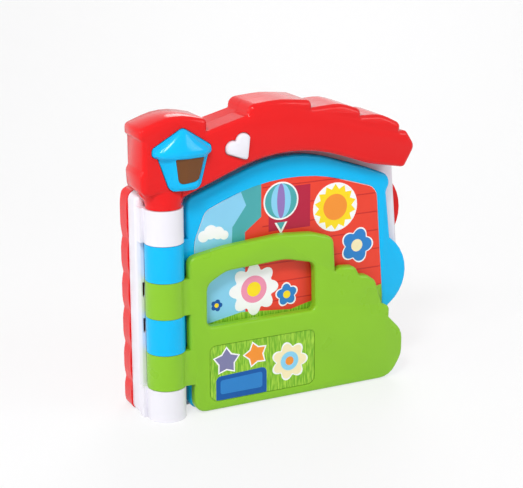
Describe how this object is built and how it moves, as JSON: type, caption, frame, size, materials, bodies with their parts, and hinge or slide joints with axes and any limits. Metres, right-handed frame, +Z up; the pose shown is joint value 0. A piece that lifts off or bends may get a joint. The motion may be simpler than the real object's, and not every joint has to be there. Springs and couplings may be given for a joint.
{
  "type": "electronic activity book toy",
  "caption": "Moulded toy book for babies shaped like a barn: thick plastic pages on an upright barrel hinge, arched tiled roof, lantern and heart push buttons.",
  "frame": {"origin": "middle of the footprint of the bounding box, on the floor that the book stands on", "axes": "+X to the right along the pages, +Y from the pages to the back, +Z up along the barrel hinge"},
  "size_m": [0.2268, 0.0596, 0.2262],
  "materials": {
    "red": "glossy moulding",
    "white": "glossy moulding",
    "blue": "glossy moulding",
    "green": "glossy moulding",
    "print": "laminated coloured print",
    "smoke": "tinted, see-through",
    "steel": "plain",
    "black": "plain",
    "board": "solder mask",
    "cell": "sleeve"
  },
  "bodies": {
    "base": {"front_shell": "white", "back_shell": "red", "roof_shell": "red", "base_print": "print", "hinge_pin": "steel", "battery_door": "red", "door_screw": "steel", "battery_1": "cell", "battery_2": "cell", "battery_contact_left": "steel", "battery_contact_right": "steel", "speaker_frame": "black", "speaker_magnet": "steel", "circuit_board": "board", "sound_chip": "black", "roof_board": "board", "lantern_switch": "black", "heart_switch": "black", "lamp_led": "white", "power_switch_body": "black", "case_screw_1": "steel", "case_screw_2": "steel", "case_screw_3": "steel", "case_screw_4": "steel", "roof_screw_1": "steel", "roof_screw_2": "steel"},
    "power_knob": {"power_switch_knob": "black"},
    "blue_page": {"blue_page_front": "blue", "blue_page_back": "blue", "blue_front_print": "print", "blue_back_print": "print"},
    "green_page": {"green_page_front": "green", "green_page_back": "green", "green_front_print": "print", "green_back_print": "print"},
    "lantern": {"lantern_button": "blue", "lantern_lens": "smoke"},
    "heart": {"heart_button": "white"}
  },
  "joints": [
    {"name": "blue_page_hinge", "type": "hinge", "parent": "base", "child": "blue_page", "pos_m": [-0.09319, -0.01045, 0], "axis": [0, 0, -1], "range_deg": [0, 180]},
    {"name": "green_page_hinge", "type": "hinge", "parent": "blue_page", "child": "green_page", "pos_m": [-0.09319, -0.01045, 0], "axis": [0, 0, -1], "range_deg": [0, 180]},
    {"name": "lantern_press", "type": "slide", "parent": "base", "child": "lantern", "axis": [0, 1, 0], "range_m": [0, 0.002], "stiffness_N_per_m": 300},
    {"name": "heart_press", "type": "slide", "parent": "base", "child": "heart", "axis": [0, 1, 0], "range_m": [0, 0.002], "stiffness_N_per_m": 300},
    {"name": "power_slide", "type": "slide", "parent": "base", "child": "power_knob", "axis": [1, 0, 0], "range_m": [0, 0.004]}
  ]
}
